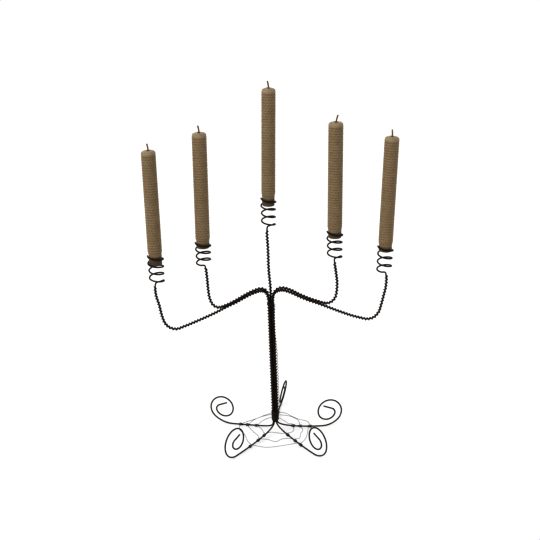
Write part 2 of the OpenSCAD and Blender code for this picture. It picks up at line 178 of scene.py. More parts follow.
# The silver web: how far out each ring is knotted on each leg, and the points that its strands pass
# from each leg in WEB_ORDER to the next, as [distance from the z axis, angle, height]
WEB_NAMES = ["web_inner", "web_middle", "web_outer"]
WEB_ORDER = [OUTER_RIGHT, CENTRE, OUTER_LEFT, INNER_LEFT, INNER_RIGHT]
WEB_REACH = [[37, 33, 35, 35, 31.5], [53.5, 51, 50, 57, 44], [67.5, 75, 66, 72, 62]]
WEB_STRANDS = [
    [
        [[27, 30, 8], [30, 57, 8]], [[36, 124, 8]], [[26, 193, 8]],
        [[25, 246, 10], [25, 278, 9.5], [30, 299, 9]], [[35, 325, 8], [34.5, 345, 7]],
    ],
    [
        [[51, 38, 7], [52, 64, 7]], [[52, 108, 7], [52, 138, 6]], [[42, 195, 6], [43, 222, 7]],
        [[45, 253, 6], [49, 270, 5], [43, 285, 6], [46, 298, 6.5]],
        [[57, 318, 5], [50, 334, 6], [50, 352, 6]],
    ],
    [
        [[64, 25, 5], [55, 40, 6], [55, 60, 7], [62, 71, 6]],
        [[58, 103, 6], [54, 137, 5.5], [60, 151, 5]], [[65, 178, 3], [59, 195, 4]],
        [[68, 255, 3], [62, 278, 3]], [[67, 320, 4], [59, 350, 4]],
    ],
]
WEB_STEP = 1.5 * MM
WEB_SEED = 20

# The knots: the least and one past the most turns, the pitch, the share of the turns before the
# knot's place on the leg, the share after which they turn back, how fast they run back, and how far
# they rise on top of the others, over what part of a turn
KNOT_TURNS = (10, 14)
KNOT_PITCH = 2.15 * SILVER_R
KNOT_BEFORE = 0.3
KNOT_BACK = 0.62
KNOT_RETURN = 0.9
KNOT_RISE = 1.7 * SILVER_R
KNOT_LIFT = 0.25
KNOT_STEPS = 14

# The silver curl up the side of the stem: how far from the stem's middle it climbs, its route as
# [height, angle] round that middle, and its radius
CURL_OFFSET = 8.2 * MM
CURL_ROUTE = [[47, 25], [110, 22], [165, 28], [190, 50], [225, 50], [250, 30]]
CURL_R = 1.1 * MM
CURL_STEP = 2 * MM

# The windings: their pitch, the heights between which they climb the stem, and how far out an outer
# arm's wire parts from its inner one
WRAP_PITCH = 5.6 * MM
WRAP_START = 43.5 * MM
WRAP_END = 247 * MM
PARTING_X = 84 * MM

# How finely the wires are drawn, and the share of a wire's radius that is bevelled off at its ends
WIRE_STEP = 1.4 * MM
WIRE_SIDES = 14
WRAP_STEPS = 16
WRAP_SIDES = 8
BEVEL = 0.3

# The wax sheet: width of a cell across its flats, lattice steps along one side of a cell, the share
# of the relief that runs in plain rows, depth of the embossing, width of the slope down into a cell
# and its share of that depth, thickness of a layer of the roll and the gap between layers, how far
# the embossed ridges stand out from the candle's mean size, and the turns of the outer layer
CELL = 5.36 * MM
LATTICE = 4
ROW_SHARE = 0.4
EMBOSS = 0.7 * MM
WALL = 0.85 * MM
WALL_SHARE = 0.8
LAYER = 1.35 * MM
LAYER_GAP = 0.12 * MM
PROUD = 0.8 * MM
OVERLAP = 1.02

# The ends of the roll: how much its foot rises towards the outside, how far the middle of its top
# stands above the candle's length, how much the top falls towards the outside, the heights of the
# rounded shoulders, the share of that by which they draw the surface in, how uneven the edges are,
# and the seeds and the turns, or their spacing, of the random heights that make them so
FOOT_DROP = 0.6 * MM
TOP_RISE = 1.2 * MM
TOP_DROP = 2.8 * MM
FOOT_SHOULDER = 1.5 * MM
TOP_SHOULDER = 2.6 * MM
SHOULDER_SHARE = 0.42
OUTER_RAGGED = 0.12 * MM
INNER_RAGGED = 0.13 * MM
OUTER_SEED = 40
INNER_SEED = 60
OUTER_STOPS = np.linspace(0, 1.1, 12)
INNER_STOP = 0.2

# The inner turns: steps a turn, the height of their rounded edges, their gap round the wick, and the
# height and width of the low mound of wax round it
INNER_STEPS = 40
EDGE_CROWN = 0.22 * MM
WICK_GAP = 0.15 * MM
MOUND_HEIGHT = 0.9 * MM
MOUND_R = 2.2 * MM

# The seam, where the sheet's outer edge is pressed onto the roll, and how much of that its inside
# shares
SEAM_ANGLE = [60, 145, 110, 120, 80]
SEAM_W = 2.5 * MM
SEAM_PRESS = 0.55 * LAYER
SEAM_INSIDE = 0.45

# Where the coil grips the foot: how far above the coil's end the candle starts to widen, over what
# height, and how far the squeezed ridges still stand out past the foot's seat
GRIP_CLEAR = 2 * MM
GRIP_FADE = 8 * MM
GRIP_PROUD = 0.25 * MM

# What the wax's colour follows, from 0 to 1: how deep its surface is embossed, which sets painted shade in
# the cells, and how far it is into the coil's painted shade and the top rim's painted highlight
MARKS = ("relief", "foot", "rim")
INNER_RELIEF = 0.35

# Where the wax is marked: the edge of the band inside the coil that is darkened with painted shade, and the
# length and edge of the rim that is paled with a painted highlight, with the share of its embossing that is
# worn away
FOOT_FADE = 3 * MM
RIM_L = 7 * MM
RIM_FADE = 6 * MM
RIM_WEAR = 0.6

# The view: the camera's place, its lens, and its pitch, pan and roll in degrees
CAMERA_AT = (-0.0026, -2.173, 1.1453)
CAMERA_LENS = 89.59
CAMERA_PITCH = 20.95
CAMERA_PAN = -0.068
CAMERA_ROLL = -0.955

# The stage: a floor that reflects a little and glows, light from all round, and the view's gamma
FLOOR_HALF = 20
FLOOR_Z = -0.05 * MM
FLOOR_GREY = 0.25
FLOOR_GLOW = 0.66
WORLD_STRENGTH = 1.33
VIEW_GAMMA = 0.6


# ---- Curves ----

def level(angle):
    """The level direction, or directions, at an angle in degrees from +X."""
    a = np.radians(np.asarray(angle, float))
    return np.stack([np.cos(a), np.sin(a), np.zeros_like(a)], axis=-1)


def ease(x):
    """From 0 to 1 as x does, with a gentle start and end."""
    return x * x * (3 - 2 * x)


def lengths(path):
    """How far along the path each of its points is."""
    return np.concatenate([[0], np.cumsum(np.linalg.norm(np.diff(path, axis=0), axis=1))])


def resample(path, step):
    """The same path as points about a step apart."""
    gone = lengths(path)
    places = np.linspace(0, gone[-1], max(2, round(gone[-1] / step) + 1))
    return np.stack([np.interp(places, gone, path[:, k]) for k in range(3)], axis=1)


def between(a, b, c, d, u):
    """Points at u, from 0 to 1, on the smooth curve between b and c that comes from a and goes to d."""
    ab, bc, cd = (np.linalg.norm(q - p) for p, q in ((a, b), (b, c), (c, d)))
    at_b = ((c - b) / bc * ab + (b - a) / ab * bc) * bc / (ab + bc)
    at_c = ((d - c) / cd * bc + (c - b) / bc * cd) * bc / (bc + cd)
    u = u[:, None]
    ends = (2 * u**3 - 3 * u**2 + 1) * b + (3 * u**2 - 2 * u**3) * c
    return ends + (u**3 - 2 * u**2 + u) * at_b + (u**3 - u**2) * at_c


def smooth(points, step):
    """The smooth curve through points, less the first and the last, which only steer its ends."""
    stretches = []
    for a, b, c, d in zip(points, points[1:], points[2:], points[3:]):
        count = max(1, math.ceil(np.linalg.norm(c - b) / step))
        stretches.append(between(a, b, c, d, np.arange(count) / count))
    return np.concatenate(stretches)


def smooth_all(points, step):
    """The smooth curve through all of the points, straight on at its ends."""
    return smooth([2 * points[0] - points[1], *points, 2 * points[-1] - points[-2]], step)


def frames(path, first):
    """Directions along a path, and two directions across it that never twist."""
    along = np.gradient(path, axis=0)
    along /= np.linalg.norm(along, axis=1)[:, None]
    across = np.empty_like(path)
    v = np.asarray(first, float)
    for i, t in enumerate(along):
        v = v - v.dot(t) * t
        v /= math.sqrt(v.dot(v))
        across[i] = v
    return along, across, np.cross(along, across)


def helix(path, turns, radius):
    """A path wound round another, which has made these turns at each of that path's points."""
    _, across, other = frames(path, (1, 0, 0))
    angle = 2 * math.pi * np.asarray(turns)[:, None]
    return path + radius * (np.cos(angle) * across + np.sin(angle) * other)


# ---- Meshes: each part is (vertices, faces) ----

def grid_faces(rows, columns, closed):
    """Quads between rows of vertices, each row closed into a ring or open."""
    j = np.arange(columns if closed else columns - 1)
    k = (j + 1) % columns
    row = np.arange(rows - 1)[:, None] * columns
    return np.stack([row + j, row + k, row + columns + k, row + columns + j], axis=-1).reshape(-1, 4)


def tube(path, radius, sides, first=None):
    """A round wire along a path, cut off square at its ends with a small bevel."""
    if first is None:
        first = np.eye(3)[np.argmin(np.abs(path[1] - path[0]))]
    along, across, other = frames(path, first)
    bevel = BEVEL * radius
    order = [0, 0, *range(1, len(path) - 1), -1, -1]
    centres = path[order]
    centres[1] += bevel * along[0]
    centres[-2] -= bevel * along[-1]
    radii = np.full(len(order), radius)
    radii[[0, -1]] -= bevel
    angle = np.linspace(0, 2 * math.pi, sides, endpoint=False)[:, None]
    ring = np.cos(angle) * across[order][:, None] + np.sin(angle) * other[order][:, None]
    vertices = centres[:, None] + radii[:, None, None] * ring
    faces = grid_faces(len(order), sides, closed=True).tolist()
    faces.append(list(range(sides - 1, -1, -1)))
    faces.append(list(range((len(order) - 1) * sides, len(order) * sides)))
    return vertices.reshape(-1, 3), faces


def joined(parts):
    """Several parts as one."""
    vertices = np.concatenate([part[0] for part in parts])
    faces = []
    first = 0
    for points, own in parts:
        faces += [[first + i for i in face] for face in own]
        first += len(points)
    return vertices, faces


def piece(name, part, slot, body, nodes, values=None):
    """A visible piece that rides on a body and stands for some CAD nodes. Its material may read values,
    which are named numbers at its vertices."""
    vertices, faces = part
    mesh = bpy.data.meshes.new(name)
    mesh.from_pydata(vertices.tolist(), [], faces)
    mesh.shade_smooth()
    mesh.set_sharp_from_angle(angle=math.radians(50))
    mesh.materials.append(FINISHES[slot])
    for key, numbers in (values or {}).items():
        attribute = mesh.attributes.new(key, "FLOAT", "POINT")
        attribute.data.foreach_set("value", numbers.astype(np.float32))
    obj = bpy.data.objects.new(name, mesh)
    bpy.context.scene.collection.objects.link(obj)
    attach(obj, body)
    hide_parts(*nodes)


# ---- Routes of the wires ----

def stem_middle(z):
    """The middle of the stem at one or several heights."""
    z = np.asarray(z, float)
    share = (z - STEM_FOOT) / (STEM_TOP - STEM_FOOT)
    return np.stack([-STEM_LEAN * share, np.zeros_like(z), z], axis=-1)


def in_stem(w, z):
    """A wire's place in the stem at a height."""
    return stem_middle(z) + BUNDLE_R * level(BUNDLE_ANGLE[w])


def scroll_heading(w):
    """The heading of the plane in which a scroll winds."""
    return LEG_HEADING[w] + SCROLL_ASIDE[w]


def scroll_start(w):
    """Where a leg ends and its scroll begins, a hair above the table."""
    return LEG_REACH * LEG_FACTOR[w] * level(LEG_HEADING[w]) + LEG_START * UP


def leg_run(w):
    """The run of a leg from the stem down to the start of its scroll."""
    a = in_stem(w, STEM_FOOT)
    b = a - LEG_DROP[w] * UP
    d = scroll_start(w)
    c = d - LEG_RUN_IN[w] * (level(scroll_heading(w)) - math.tan(math.radians(LEG_SLOPE)) * UP)
    u = np.linspace(0, 1, LEG_STEPS + 1)[:, None]
    return (1 - u) ** 3 * a + 3 * u * (1 - u) ** 2 * b + 3 * u**2 * (1 - u) * c + u**3 * d


def scroll(w):
    """A foot scroll from the table inwards: arcs laid end to end, then a straight end."""
    scale = SCROLL_FACTOR[w] * MM
    factors = [SCROLL_FIRST[w], 1, 1, SCROLL_INNER[w], SCROLL_INNER[w]]
    flat = [np.zeros((1, 2))]
    heading = -LEG_SLOPE
    for (radius, sweep), factor in zip(SCROLL_ARCS, factors):
        start = math.radians(heading)
        turn = np.radians(heading + np.linspace(0, sweep, ARC_STEPS + 1)[1:])
        steps = np.stack([np.sin(turn) - math.sin(start), math.cos(start) - np.cos(turn)], axis=1)
        flat.append(flat[-1][-1] + radius * scale * factor * steps)
        heading += sweep
    tail = level(heading)[:2] * SCROLL_TAIL[w] * scale
    flat.append(flat[-1][-1] + np.linspace(0, 1, TAIL_STEPS + 1)[1:, None] * tail)
    flat = np.concatenate(flat)
    lean = math.radians(SCROLL_LEAN[w])
    up = math.cos(lean) * UP - math.sin(lean) * level(scroll_heading(w) + 90)
    return scroll_start(w) + flat[:, :1] * level(scroll_heading(w)) + flat[:, 1:] * up


def seat_r(w):
    """The radius of a candle's foot where its coil grips it."""
    return CANDLE_D[w] / 2 - SQUEEZE


def leaned(w, points):
    """Points of a candle's own frame, in place: its foot is the origin, and its axis is z before it leans."""
    a = math.radians(CANDLE_LEAN[w])
    x, y, z = np.moveaxis(np.asarray(points, float), -1, 0)
    turned = np.stack([x * math.cos(a) + z * math.sin(a), y, z * math.cos(a) - x * math.sin(a)], axis=-1)
    return turned + np.array(CANDLE_FOOT[w]) * MM + STEM_TOP * UP


def coil_r(w, turn):
    """The coil's radius, which closes in a little below the candle's foot."""
    below = (CANDLE_DEPTH[w] + CORE_R + GAP) / (COIL_PITCH * COIL_FACTOR[w])
    closing = np.clip((turn - below) / COIL_CLOSING, 0, 1)
    return seat_r(w) + CORE_R + GAP - COIL_SHELF * closing


def coil_point(w, turn):
    """Points on the coil, at turns down from its free end at the top left."""
    turn = np.asarray(turn, float)
    height = CANDLE_DEPTH[w] - COIL_PITCH * COIL_FACTOR[w] * turn
    return leaned(w, coil_r(w, turn)[..., None] * level(180 + 360 * turn) + height[..., None] * UP)


def coil_entry(w):
    """The last stretch of an arm: up the coil's axis, then round and out to the coil's last turn."""
    turns = COIL_TURNS[w]
    r = float(coil_r(w, turns))
    end = CANDLE_DEPTH[w] - COIL_PITCH * COIL_FACTOR[w] * turns
    a = 180 + 360 * turns
    entry = []
    for outwards, onwards, shift, depth in ENTRY_POINTS:
        aside = shift * EXIT_SHIFT[w] * level(0)
        place = r * (outwards * level(a) + onwards * level(a + 90)) + aside
        entry.append(leaned(w, place + (end - depth) * UP))
    return entry


def arm(w):
    """An arm, from the top of the stem to the end of the coil's last turn."""
    route = [np.array(p) * MM + STEM_TOP * UP for p in ARM_ROUTE[w]]
    below = [in_stem(w, STEM_TOP - ARM_STEER), in_stem(w, STEM_TOP)]
    coil_end = [coil_point(w, COIL_TURNS[w]), coil_point(w, COIL_TURNS[w] - COIL_STEER)]
    return smooth(below + route + coil_entry(w) + coil_end, WIRE_STEP)


def wire_path(w):
    """The middle of a whole wire, from the tip of its scroll to the free end of its coil."""
    leg = np.concatenate([leg_run(w), scroll(w)[1:]])[::-1]
    coil = coil_point(w, np.linspace(COIL_TURNS[w], 0, round(COIL_STEPS * COIL_TURNS[w]) + 1))
    return resample(np.concatenate([leg, arm(w), coil]), WIRE_STEP)


# ---- The dark wire ----

def core_wire(w):
    """A whole wire, from its scroll to its coil."""
    return tube(wire_path(w), CORE_R, WIRE_SIDES, level(scroll_heading(w) + 90))


def wound_stretch(w):
    """The middle of the stretch of a wire that has a winding, from above the lower collar to its coil."""
    path = resample(np.concatenate([[in_stem(w, WRAP_START)], arm(w)]), WRAP_PITCH / WRAP_STEPS)
    end = np.argmin(np.linalg.norm(path - coil_entry(w)[0], axis=1))
    return path[:end]


def winding_turns(w, path):
    """Turns made at each point. Where an outer wire lies along its inner one, their turns interleave."""
    gone = lengths(path)
    if w not in PAIRS:
        return gone / WRAP_PITCH
    mate = wound_stretch(PAIRS[w])
    parting = np.argmax(np.abs(path[:, 0]) > PARTING_X)
    stops = np.arange(0, parting, 2 * WRAP_STEPS)
    nearest = [np.argmin(np.linalg.norm(mate - path[k], axis=1)) for k in stops]
    turns = lengths(mate)[nearest] / WRAP_PITCH
    all_turns = turns[-1] + (gone[-1] - gone[stops[-1]]) / WRAP_PITCH
    return np.interp(gone, [*gone[stops], gone[-1]], [*turns, all_turns])


def winding(w):
    """The winding of one wire: up the stem, and from above the upper collar along the arm."""
    path = wound_stretch(w)
    turns = winding_turns(w, path)
    wound = helix(path, turns, CORE_R + WRAP_R)
    gone = lengths(path)
    below = (path[:, 2] < WRAP_END) & (gone < WRAP_END - WRAP_START)
    above = gone > STEM_TOP - WRAP_START
    return joined([tube(wound[part], WRAP_R, WRAP_SIDES) for part in (below, above)])


def collar(start, turns):
    """A close winding round the whole bundle."""
    made = np.linspace(0, turns, COLLAR_STEPS * turns + 1)
    path = stem_middle(start + 2 * COLLAR_WIRE_R * made)
    return tube(helix(path, made, COLLAR_R + COLLAR_WIRE_R), COLLAR_WIRE_R * COLLAR_FILL, WRAP_SIDES)


# ---- The silver wire ----

def silver_curl():
    """A fine curl of wire up the side of the stem."""
    route = [stem_middle(z * MM) + CURL_OFFSET * level(angle) for z, angle in CURL_ROUTE]
    path = resample(smooth_all(route, CURL_STEP), WRAP_PITCH / WRAP_STEPS)
    return tube(helix(path, lengths(path) / WRAP_PITCH, CURL_R), SILVER_R, WRAP_SIDES)


def leg_place(w, distance):
    """Where a leg is when it has come a distance out from the stem, and its direction there."""
    run = leg_run(w)
    i = np.argmax(np.linalg.norm(run[:, :2], axis=1) >= distance)
    return run[i], (run[i + 1] - run[i - 1]) / np.linalg.norm(run[i + 1] - run[i - 1])


def knot(w, distance, turns):
    """Turns of silver wire round a leg, out along it and part of the way back on top of themselves."""
    place, along = leg_place(w, distance)
    side = np.cross(UP, along)
    side /= np.linalg.norm(side)
    normal = np.cross(along, side)
    t = np.linspace(0, turns, KNOT_STEPS * turns + 1)
    back = np.clip(t - KNOT_BACK * turns, 0, None)
    shift = (t - (1 + KNOT_RETURN) * back - KNOT_BEFORE * turns) * KNOT_PITCH
    radius = CORE_R + SILVER_R + np.clip(back / KNOT_LIFT, 0, 1) * KNOT_RISE
    angle = 2 * math.pi * t
    ring = np.cos(angle)[:, None] * normal + np.sin(angle)[:, None] * side
    return place + radius[:, None] * ring + shift[:, None] * along


def web(ring):
    """One ring of the web: a wire knotted round each leg in turn, and nowhere below the table's top."""
    rng = np.random.default_rng(WEB_SEED + ring)
    path = []
    for i, w in enumerate(WEB_ORDER):
        path.append(knot(w, WEB_REACH[ring][w] * MM, int(rng.integers(*KNOT_TURNS))))
        path.append(np.array([r * MM * level(a) + z * MM * UP for r, a, z in WEB_STRANDS[ring][i]]))
    path = np.concatenate(path)
    route = smooth(np.concatenate([path[-1:], path, path[:2]]), WEB_STEP)
    route[:, 2] = np.maximum(route[:, 2], SILVER_R)
    return tube(route, SILVER_R, WRAP_SIDES)


# ---- The candles ----

def cell_relief(u, v):
    """How deep the embossing is at places on the flat sheet, from 0 on a ridge to 1 amid a cell."""
    row_height = CELL * math.sqrt(3) / 2
    best = np.full(np.shape(u), CELL)
    for shift in (0, 1):
        row = np.floor(v / row_height) + shift
        offset = (row % 2) * CELL / 2
        du = np.abs(u - offset - np.round((u - offset) / CELL) * CELL)
        dv = np.abs(v - row * row_height)
        best = np.minimum(best, np.maximum(du, du / 2 + dv * math.sqrt(3) / 2))
    inside = np.clip(CELL / 2 - best, 0, None)
    cells = WALL_SHARE * ease(np.clip(inside / WALL, 0, 1)) + (1 - WALL_SHARE) * 2 * inside / CELL
    rows = 0.5 + 0.5 * np.cos(2 * math.pi * v / row_height)
    return cells + ROW_SHARE * (rows - cells)


def foot_height(radius, r):
    """Height of the roll's flat foot at a distance from its axis."""
    return FOOT_DROP * (r / radius) ** 6


def top_height(radius, r):
    """Height of the roll's top, softened into a low dome, at a distance from its axis."""
    return CANDLE_L + TOP_RISE - TOP_DROP * (r / radius) ** 4


def squeezed(w, r, z):
    """Radii, drawn in where the coil grips the candle's foot."""
    free = ease(np.clip((z - CANDLE_DEPTH[w] - GRIP_CLEAR) / GRIP_FADE, 0, 1))
    return r * (1 - (SQUEEZE + PROUD - GRIP_PROUD) * (1 - free) / (CANDLE_D[w] / 2))


def roll_r(w, turn):
    """The outer radius of the rolled sheet, whose first turn stays nearly round."""
    return CANDLE_D[w] / 2 + PROUD - LAYER * np.minimum(turn, turn**2)


def roll_point(w, turn, r, z):
    """Points of the rolled sheet, at turns inwards from its seam."""
    at = squeezed(w, r, z)[..., None] * level(SEAM_ANGLE[w] + 360 * turn) + z[..., None] * UP
    return leaned(w, at)


def marks(w, relief, z):
    """The values of MARKS at places as high as z, which are embossed this deep."""
    return dict(zip(MARKS, (relief, coil_shade_share(w, z), rim_share(z))))


def uneven(turn, stops, size, seed):
    """How far the sheet's edge stands up at turns of the roll: random at the stops, straight between them."""
    return np.interp(turn, stops, np.random.default_rng(seed).normal(0, size, len(stops)))


def pressed_surface(u, v, r, low, high):
    """Radii of the outer layer's outside, which is embossed, rounded at its ends and pressed onto the
    roll at its seam, with how deep it is embossed and how far it is pressed."""
    shoulder = np.where(v > CANDLE_L / 2, TOP_SHOULDER, FOOT_SHOULDER)
    from_end = np.clip(np.minimum(v - low, high - v) / shoulder, 0, 1)
    rounding = 1 - np.sqrt(np.clip(1 - (1 - from_end) ** 2, 0, 1))
    seam = SEAM_PRESS * (1 - ease(np.clip(u / SEAM_W, 0, 1)))
    relief = cell_relief(u, v)
    worn = (1 - rounding) * (1 - RIM_WEAR * rim_share(v))
    outside = r - EMBOSS * relief * worn - SHOULDER_SHARE * shoulder * rounding - seam
    return outside, relief, seam


def sheet_faces(rows, columns):
    """Faces of a sheet whose outside has these rows, and whose inside, laid after it, has three."""
    outside = rows * columns
    inside_top = outside + 2 * columns
    faces = grid_faces(rows, columns, closed=False).tolist()
    faces += (outside + grid_faces(3, columns, closed=False)[:, ::-1]).tolist()
    top = outside - columns
    for j in range(columns - 1):
        faces.append([j + 1, j, outside + j, outside + j + 1])
        faces.append([top + j, top + j + 1, inside_top + j + 1, inside_top + j])
    last = columns - 1
    inside_first = [inside_top, outside + columns, outside]
    faces.append([*range(top, -1, -columns), *reversed(inside_first)])
    faces.append([*range(last, outside, columns), *(i + last for i in inside_first)])
    return faces


def outer_layer(w):
    """The outermost turn of the sheet, on a lattice that follows its cells."""
    radius = CANDLE_D[w] / 2
    step_v = CELL / math.sqrt(3) / LATTICE
    step_u = step_v * math.sqrt(3) / 2
    columns = math.ceil(2 * math.pi * radius * OVERLAP / step_u)
    u = np.arange(columns) * step_u
    turn = u / (2 * math.pi * radius)
    r = roll_r(w, turn)
    low = foot_height(radius, r - LAYER / 2)
    high = top_height(radius, r - LAYER / 2)
    high += uneven(turn, OUTER_STOPS, OUTER_RAGGED, OUTER_SEED + w)
    rows = math.ceil(CANDLE_L / step_v) + 2
    v = (np.arange(rows)[:, None] - 1 + (np.arange(columns) % 2) / 2) * step_v
    v = np.clip(v, low, high)
    v[0] = low
    v[-1] = high
    outside, relief, seam = pressed_surface(u, v, r, low, high)
    inside = np.broadcast_to(r - LAYER + LAYER_GAP, (3, columns)) - SEAM_INSIDE * seam
    inside_v = np.stack([low, np.full(columns, CANDLE_DEPTH[w] + GRIP_CLEAR + GRIP_FADE), high])
    r = np.concatenate([outside, inside])
    z = np.concatenate([v, inside_v])
    relief = np.concatenate([relief, np.zeros((3, columns))])
    vertices = roll_point(w, turn, r, z).reshape(-1, 3)
    return (vertices, sheet_faces(rows, columns)), marks(w, relief.ravel(), z.ravel())


def inner_layers(w):
    """The rest of the roll, whose edges show as a spiral at the candle's ends."""
    radius = CANDLE_D[w] / 2
    last = (radius - WICK_R - WICK_GAP) / LAYER - 1
    turn = np.linspace(OVERLAP, last, round((last - OVERLAP) * INNER_STEPS))
    outer = roll_r(w, turn)
    middle = outer - LAYER / 2
    inner = outer - LAYER + LAYER_GAP
    low = foot_height(radius, middle)
    high = top_height(radius, middle) + MOUND_HEIGHT * np.exp(-((middle / MOUND_R) ** 2))
    high += uneven(turn, np.arange(0, last + 1.5 * INNER_STOP, INNER_STOP), INNER_RAGGED, INNER_SEED + w)
    grip = np.full(len(turn), CANDLE_DEPTH[w] + GRIP_CLEAR + GRIP_FADE)
    around = [(outer, low + EDGE_CROWN), (outer, grip), (outer, high - EDGE_CROWN), (middle, high),
              (inner, high - EDGE_CROWN), (inner, grip), (inner, low + EDGE_CROWN), (middle, low)]
    r, z = (np.stack(values, axis=1) for values in zip(*around))
    vertices = roll_point(w, turn[:, None], r, z).reshape(-1, 3)
    sides = len(around)
    faces = grid_faces(len(turn), sides, closed=True).tolist()
    faces.append(list(range(sides - 1, -1, -1)))
    faces.append(list(range((len(turn) - 1) * sides, len(turn) * sides)))
    return (vertices, faces), marks(w, np.full(z.size, INNER_RELIEF), z.ravel())


def coil_shade_share(w, z):
    """From 0 to 1, how far places are down in the part of the candle that the coil grips, where painted shade
    darkens the wax.
    """
    return np.clip((CANDLE_DEPTH[w] + GRIP_CLEAR - z) / FOOT_FADE, 0, 1)


def rim_share(z):
    """From 0 to 1, how far places are up in the rim at the top of the candle, where the wax is paled with a
    painted highlight and its embossing is worn.
    """
    return np.clip((z - CANDLE_L + RIM_L) / RIM_FADE, 0, 1)


def candle(w):
    """A rolled candle, and where its surface is embossed, in the coil's painted shade and in the top rim's
    painted highlight.
    """
    layers = [outer_layer(w), inner_layers(w)]
    values = {key: np.concatenate([own[key] for _, own in layers]) for key in MARKS}
    return joined([part for part, _ in layers]), values


def wick(w):
    """A twisted wick of three strands, in place from the candle's foot to its own tip."""
    points = [leaned(w, [0, 0, z]) for z in (0, CANDLE_L / 2, CANDLE_L - WICK_UPRIGHT, CANDLE_L)]
    for height, bend in WICK_CURVE:
        points.append(leaned(w, [bend * WICK_BEND[w], 0, CANDLE_L + height * WICK_L]))
    path = resample(smooth_all(points, 1 * MM), WICK_STEP)
    gone = lengths(path)
    shown = path[gone > CANDLE_L - STRAND_DEPTH]
    hidden = path[gone < CANDLE_L - STRAND_DEPTH + STRAND_LAP]
    parts = []
    for k in range(STRANDS):
        turns = lengths(shown) / STRAND_PITCH + k / STRANDS
        parts.append(tube(helix(shown, turns, WICK_R - STRAND_R), STRAND_R, WRAP_SIDES))
    parts.append(tube(resample(hidden, PLAIN_WICK_STEP), PLAIN_WICK_R, WRAP_SIDES))
    return joined(parts)


# ---- Materials ----

def add(tree, kind, inputs=None, **settings):
    """A shader node with its settings, its inputs set to values or linked to sockets."""
    made = tree.nodes.new("ShaderNode" + kind)
    for key, value in settings.items():
        setattr(made, key, value)
    for key, value in (inputs or {}).items():
        if isinstance(value, bpy.types.NodeSocket):
            tree.links.new(value, made.inputs[key])
        else:
            made.inputs[key].default_value = value
    return made


def noise(tree, scale, detail=3, roughness=0.55):
    """Noise fixed to the piece, with features about one over scale metres across."""
    place = add(tree, "TexCoord").outputs["Object"]
    inputs = {"Vector": place, "Scale": scale, "Detail": detail, "Roughness": roughness}
    return add(tree, "TexNoise", inputs).outputs["Fac"]


def ramp(tree, factor, stops):
    """Colours that follow a factor, as (position, colour) stops."""
    made = add(tree, "ValToRGB", {"Fac": factor})
    elements = made.color_ramp.elements
    while len(elements) < len(stops):
        elements.new(0.5)
    for element, (position, colour) in zip(elements, stops):
        element.position = position
        element.color = (*colour, 1)
    return made.outputs["Color"]


def mix(tree, factor, a, b):
    """Colour a where the factor is 0 and colour b where it is 1."""
    made = tree.nodes.new("ShaderNodeMix")
    made.data_type = "RGBA"
    for index, value in ((0, factor), (6, a), (7, b)):
        if isinstance(value, bpy.types.NodeSocket):
            tree.links.new(value, made.inputs[index])
        else:
            made.inputs[index].default_value = value if index == 0 else (*value, 1)
    return made.outputs[2]


def spread(tree, value, low, high):
    """A factor from 0 to 1 stretched to run from low to high."""
    return add(tree, "MapRange", {"Value": value, "To Min": low, "To Max": high}).outputs["Result"]


def finish(name, colour, roughness, grain, **sockets):
    """A material from a function that makes its colour, a roughness of (noise scale, low, high) and a
    grain of (noise scale, noise detail, height)."""
    made = bpy.data.materials.new(name)
    made.use_nodes = True
    tree = made.node_tree
    shader = tree.nodes["Principled BSDF"]
    for key, value in sockets.items():
        shader.inputs[key.replace("_", " ")].default_value = value
    tree.links.new(colour(tree), shader.inputs["Base Color"])
    rough_scale, low, high = roughness
    tree.links.new(spread(tree, noise(tree, rough_scale), low, high), shader.inputs["Roughness"])
    grain_scale, detail, height = grain
    bumps = noise(tree, grain_scale, detail)
    bump = add(tree, "Bump", {"Height": bumps, "Distance": height, "Strength": 1})
    tree.links.new(bump.outputs["Normal"], shader.inputs["Normal"])
    return made


def dark_wire():
    """Black annealed steel wire, browned in patches."""
    def colour(tree):
        patches = ramp(tree, noise(tree, 70), [(0.35, (0.013, 0.008, 0.004)), (0.7, (0.034, 0.02, 0.01))])
        specks = spread(tree, noise(tree, 1400, 2), -1.6, 1.4)
        return mix(tree, specks, patches, (0.05, 0.034, 0.023))

    return finish("dark_wire", colour, (500, 0.35, 0.62), (2200, 2, 0.03 * MM), Specular_IOR_Level=0.2)


def dark_winding():
    """The thinner wire wound round the cores, a little rougher."""
    def colour(tree):
        return ramp(tree, noise(tree, 240), [(0.3, (0.014, 0.008, 0.004)), (0.75, (0.036, 0.022, 0.012))])

    return finish("dark_winding", colour, (700, 0.4, 0.68), (2600, 2, 0.03 * MM), Specular_IOR_Level=0.25)


def silver_wire():
    """Fine zinc-bright binding wire, dulled in patches."""
    def colour(tree):
        return ramp(tree, noise(tree, 300), [(0.3, (0.05, 0.048, 0.045)), (0.7, (0.14, 0.136, 0.13))])

    return finish("silver_wire", colour, (900, 0.28, 0.5), (3000, 2, 0.02 * MM), Metallic=1.0)


